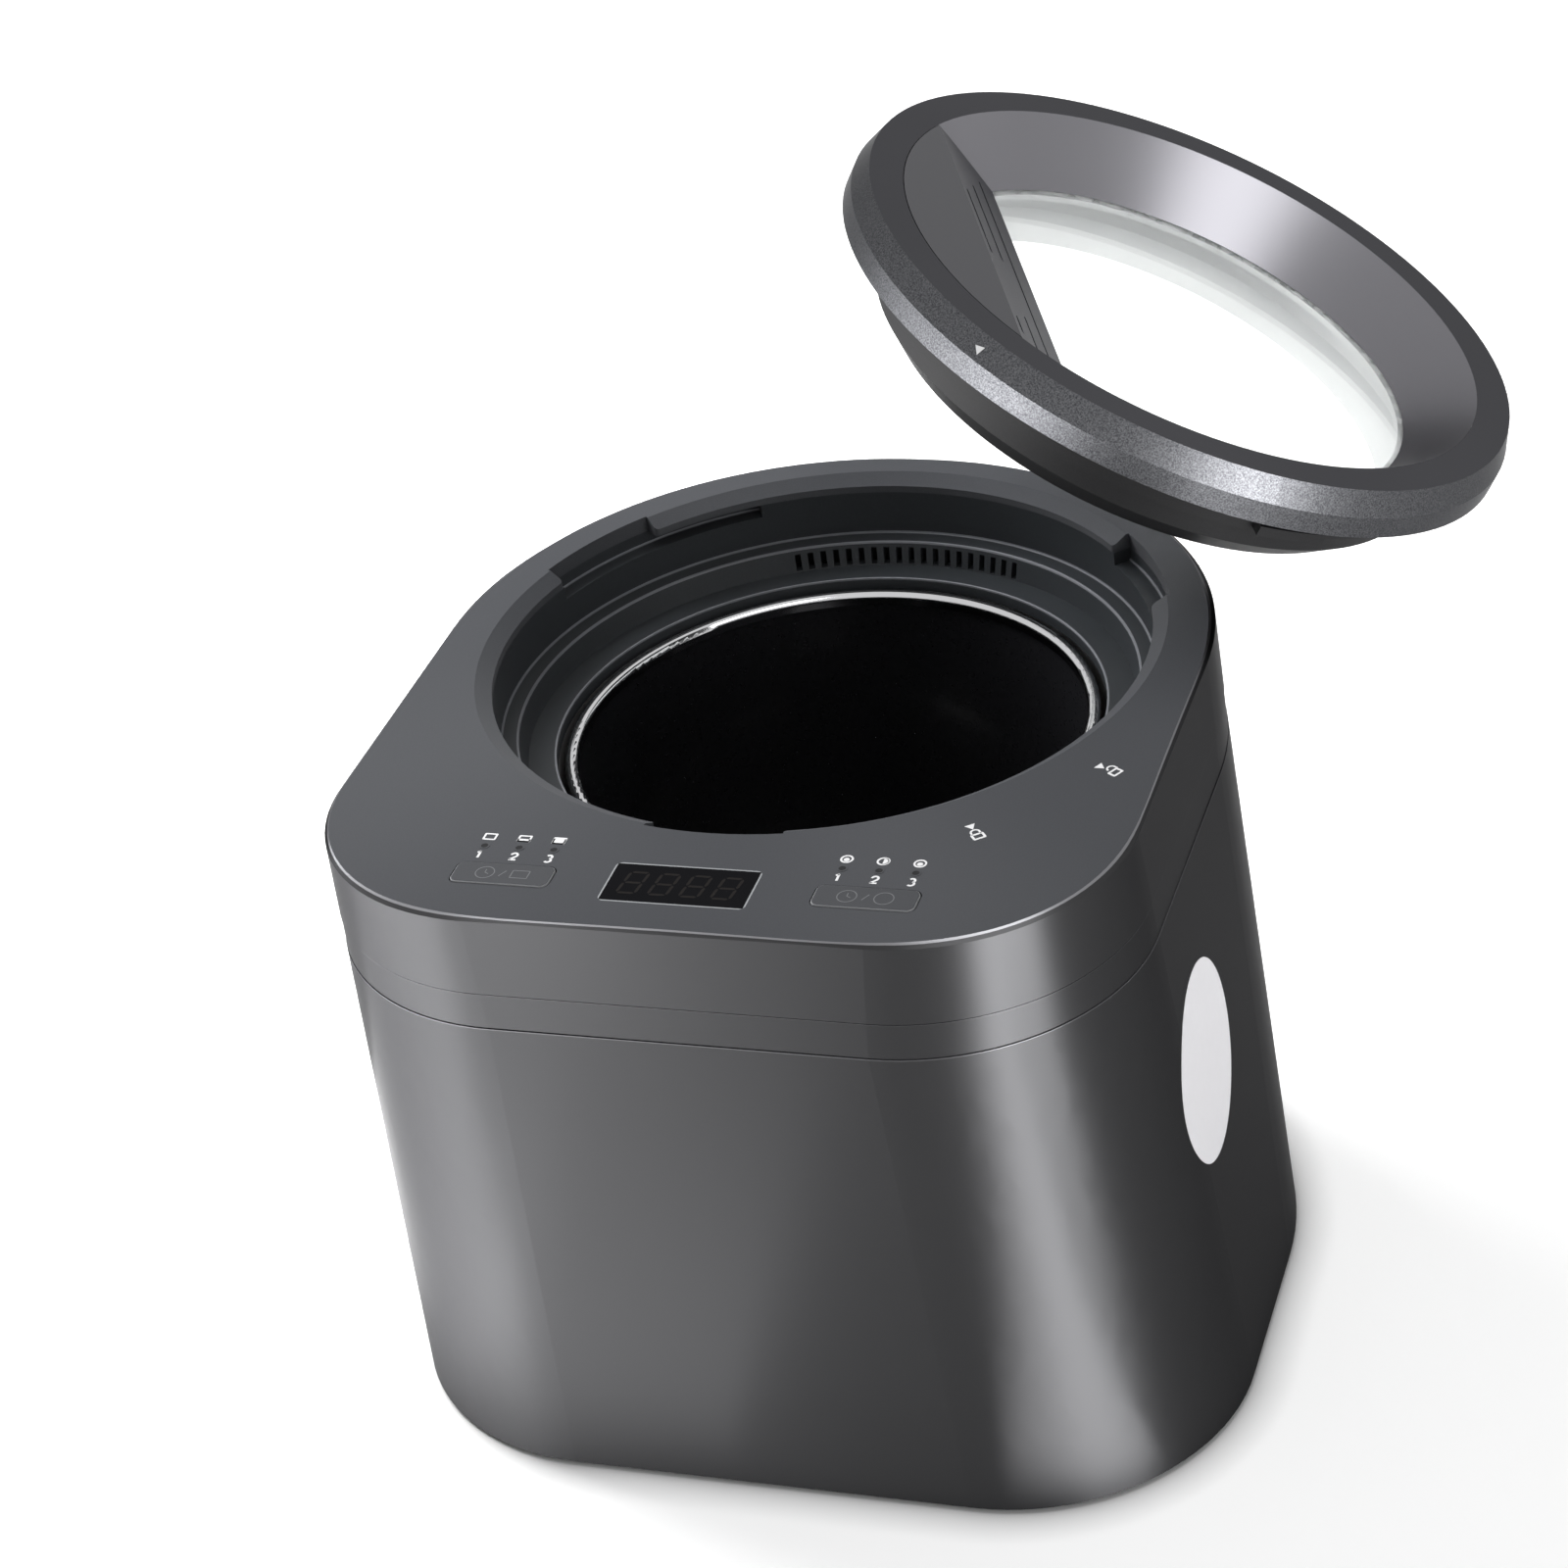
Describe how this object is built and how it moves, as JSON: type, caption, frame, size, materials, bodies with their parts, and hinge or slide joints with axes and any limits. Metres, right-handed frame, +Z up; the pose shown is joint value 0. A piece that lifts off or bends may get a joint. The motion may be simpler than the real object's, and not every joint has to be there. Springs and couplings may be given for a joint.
{
  "type": "electric food waste composter",
  "caption": "Countertop electric composter with a round opening, a lift-out bucket and stirrer, push buttons, a fan and a twist-off window lid with an air filter.",
  "frame": {"origin": "on the worktop, under the middle of the round opening, in the plane of the four feet", "axes": "+Z up, -Y towards the user and the buttons, +X to the user's right"},
  "size_m": [0.3363, 0.4147, 0.336],
  "materials": {
    "shell_gunmetal": "satin dark gunmetal lacquer",
    "deck_grey": "fine matt texture",
    "trim_dark": "satin",
    "base_black": "matt",
    "foot_rubber": "matt",
    "screw_steel": "zinc plated",
    "well_charcoal": "satin",
    "steel": "brushed",
    "alloy": "plain",
    "motor_metal": "plain",
    "bronze": "sintered",
    "board_green": "lacquered",
    "black_plastic": "satin",
    "window_black": "polished",
    "lamp_white": "clear",
    "button_dark": "satin",
    "bucket_black": "non-stick coated, cast",
    "rim_bright": "polished",
    "lid_metallic": "metallic lacquer",
    "lid_black": "satin",
    "clear_glass": "clear",
    "carbon": "activated carbon pad",
    "seal_grey": "silicone",
    "seal_white": "white silicone"
  },
  "bodies": {
    "housing": {"top_cover": "deck_grey", "trim_band": "trim_dark", "outer_shell": "shell_gunmetal", "base_pan": "base_black", "rubber_feet": "foot_rubber", "base_screws": "screw_steel", "well_liner": "well_charcoal", "chamber_can": "alloy", "heater_plate": "alloy", "gear_motor": "motor_metal", "output_bearing": "bronze", "chamber_bracket": "steel", "fan_frame": "black_plastic", "exhaust_duct": "black_plastic", "power_inlet": "black_plastic", "power_board": "board_green", "control_board": "board_green", "display_window": "window_black", "status_lamps": "lamp_white"},
    "left_button": {"left_button": "button_dark"},
    "right_button": {"right_button": "button_dark"},
    "bucket": {"bucket": "bucket_black", "bucket_rim": "rim_bright", "bucket_bush": "bronze", "fixed_bars": "steel"},
    "stirrer": {"stirrer": "bucket_black", "stirrer_shaft": "steel"},
    "drive": {"output_coupling": "steel"},
    "fan": {"fan_rotor": "black_plastic"},
    "lid_carrier": {"stop_ball": "steel"},
    "lid_seal": {"lid_gasket": "seal_grey"},
    "lid": {"lid_ring": "lid_metallic", "lid_skirt": "lid_black", "lid_glass": "clear_glass", "window_seal": "seal_white", "filter_grate": "lid_black", "vent_cover": "lid_black", "carbon_filter": "carbon"}
  },
  "joints": [
    {"name": "left_button_press", "type": "slide", "parent": "housing", "child": "left_button", "axis": [0, 0, 1], "range_m": [-0.0008, 0], "stiffness_N_per_m": 400},
    {"name": "right_button_press", "type": "slide", "parent": "housing", "child": "right_button", "axis": [0, 0, 1], "range_m": [-0.0008, 0], "stiffness_N_per_m": 400},
    {"name": "bucket_lift", "type": "slide", "parent": "housing", "child": "bucket", "axis": [0, 0, 1], "range_m": [0, 0.055]},
    {"name": "stirrer_turn", "type": "hinge", "parent": "bucket", "child": "stirrer", "pos_m": [0, 0, 0.08], "axis": [0, 0, 1], "continuous": true},
    {"name": "drive_turn", "type": "hinge", "parent": "housing", "child": "drive", "pos_m": [0, 0, 0.05], "axis": [0, 0, 1], "continuous": true},
    {"name": "fan_turn", "type": "hinge", "parent": "housing", "child": "fan", "pos_m": [0, 0.098, 0.096], "axis": [0, 1, 0], "continuous": true},
    {"name": "lid_lift", "type": "hinge", "parent": "housing", "child": "lid_carrier", "pos_m": [-0.02178, 0.10803, 0.2287], "axis": [-0.8585, 0.5129, 0], "range_deg": [-160.22, 0]},
    {"name": "lid_level", "type": "hinge", "parent": "lid_carrier", "child": "lid_seal", "pos_m": [0.05443, 0.2356, 0.28215], "axis": [0.2683, -0.9517, -0.1494], "range_deg": [-137.5, 0]},
    {"name": "lid_twist", "type": "hinge", "parent": "lid_seal", "child": "lid", "pos_m": [0.0881, 0.1355, 0.2681], "axis": [0.465, 0.0867, 0.8811], "range_deg": [-21.3, 0]}
  ],
  "couplings": [
    {"joint": "drive_turn", "follows": "stirrer_turn", "ratio": 1},
    {"joint": "lid_level", "follows": "lid_lift", "ratio": 0.85808}
  ]
}
